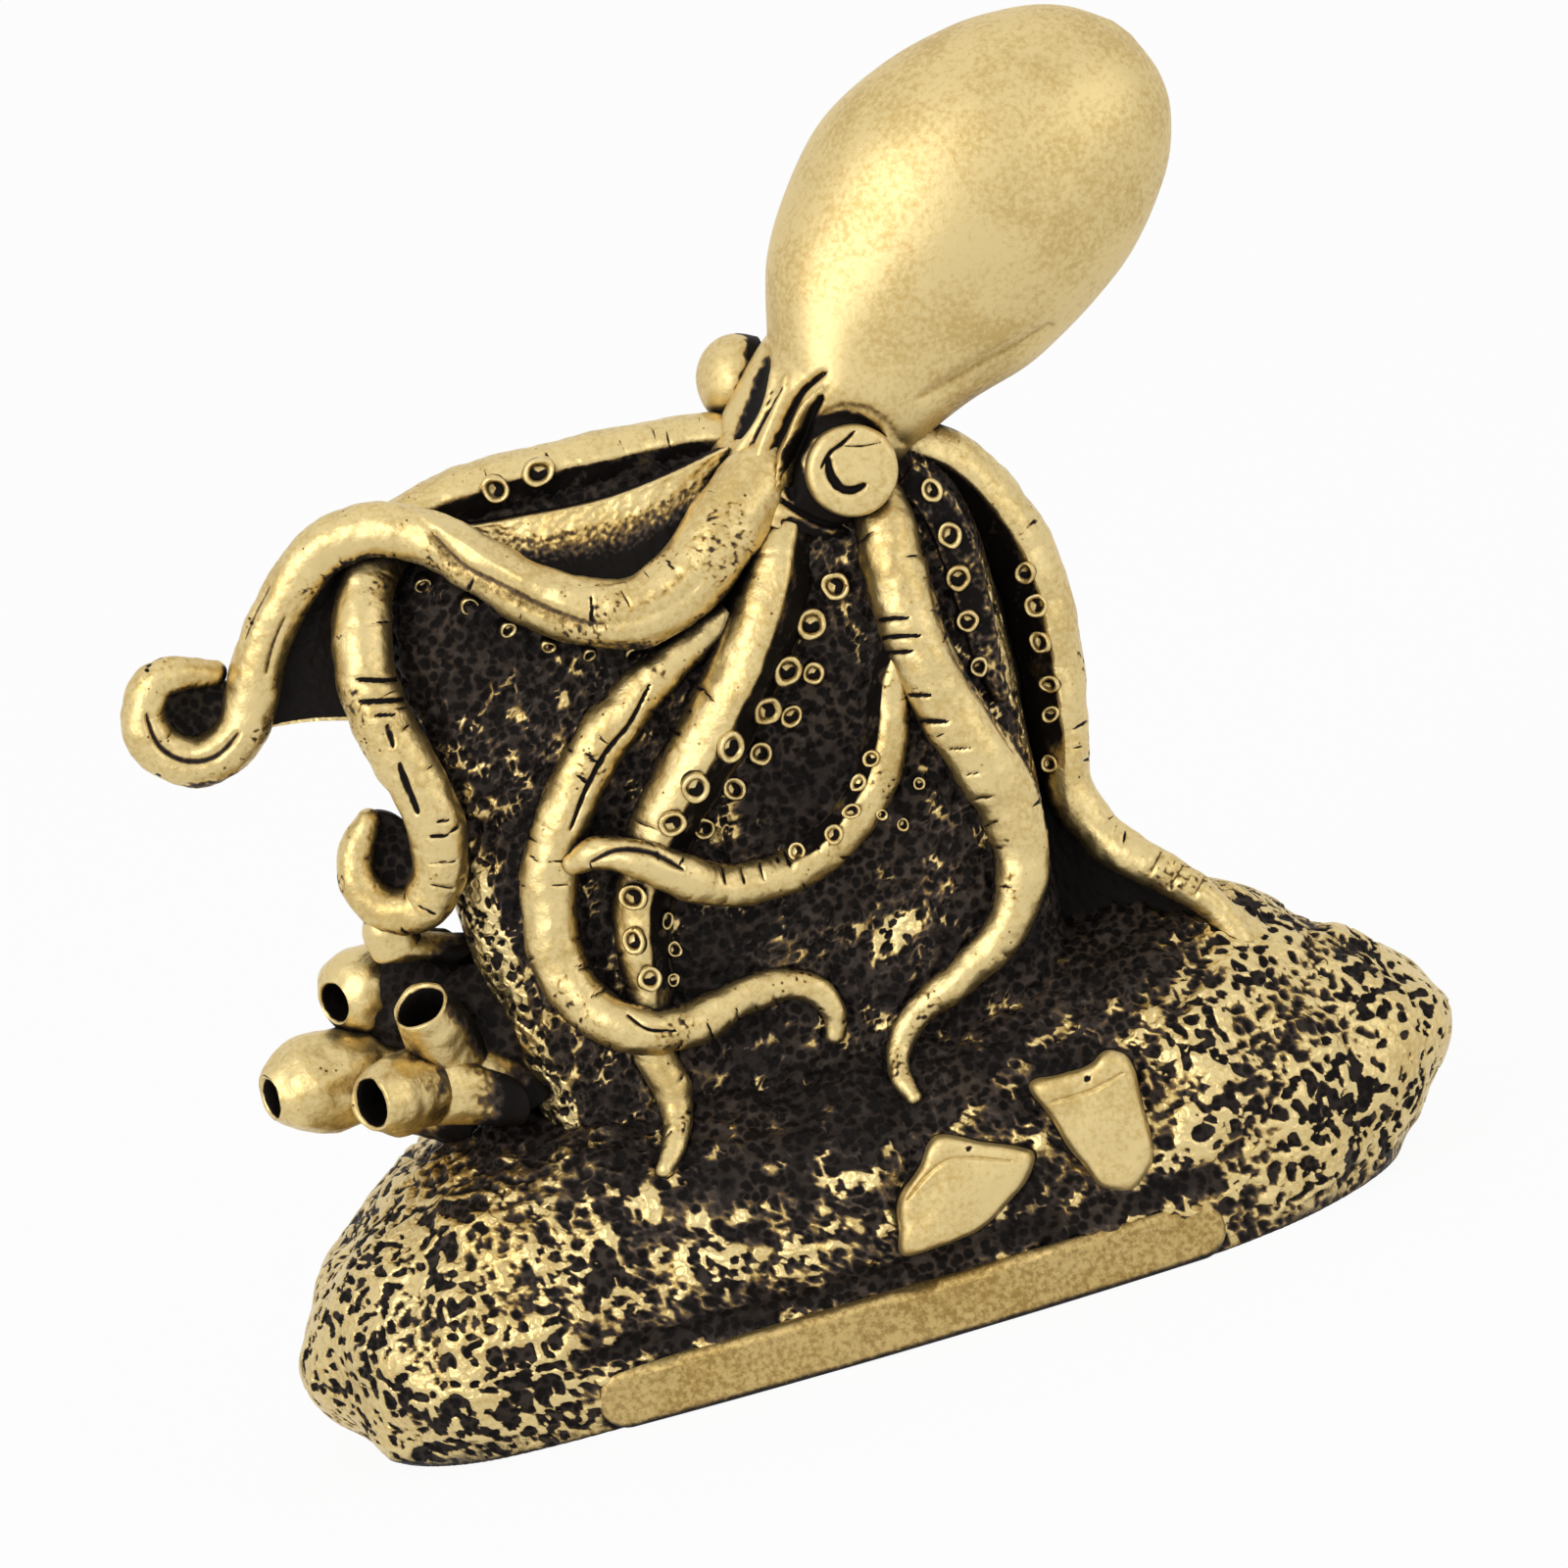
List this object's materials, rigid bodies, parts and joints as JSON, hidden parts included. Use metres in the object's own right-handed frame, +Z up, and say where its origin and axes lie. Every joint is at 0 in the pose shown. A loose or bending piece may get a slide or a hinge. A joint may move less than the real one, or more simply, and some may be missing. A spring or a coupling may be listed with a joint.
{
  "type": "octopus figurine",
  "caption": "Solid brass octopus draped over an upright pitted rock on a long mound, with tube sponges, stones and a bare plaque; stands on its flat underside.",
  "frame": {"origin": "centre of the mound's flat underside, below the middle of the plaque", "axes": "+X right along the plaque, +Y from the plaque to the back, +Z up"},
  "size_m": [0.0458, 0.0191, 0.0466],
  "materials": {
    "polished_brass": "semi-polished brass with fine scratches and soft mottling",
    "antique_brass": "worn brass with dark patina left in creases and hollows",
    "pitted_brass": "pitted brass, dark patina in the pits and bright worn tops",
    "dark_brass": "dark patinated brass"
  },
  "bodies": {
    "root": {"base_mound": "pitted_brass", "rock_slab": "pitted_brass", "plaque": "polished_brass", "stone_left": "polished_brass", "stone_right": "polished_brass", "tube_sponge_1": "antique_brass", "tube_sponge_2": "antique_brass", "tube_sponge_3": "antique_brass", "tube_sponge_4": "antique_brass", "tube_sponge_5": "antique_brass", "mantle": "polished_brass", "head": "polished_brass", "eye_right": "polished_brass", "eye_left": "polished_brass", "arm_long_left": "antique_brass", "arm_over_top": "antique_brass", "arm_front_left": "antique_brass", "arm_front_centre": "antique_brass", "arm_hooked": "antique_brass", "arm_front_right": "antique_brass", "arm_rock_edge": "antique_brass", "arm_side_right": "antique_brass", "web_upper": "dark_brass", "web_left": "dark_brass", "suckers_front_centre": "antique_brass", "suckers_long_left": "antique_brass", "suckers_over_top": "antique_brass", "suckers_hooked": "antique_brass", "suckers_rock_edge": "antique_brass", "suckers_side_right": "antique_brass"}
  },
  "joints": []
}
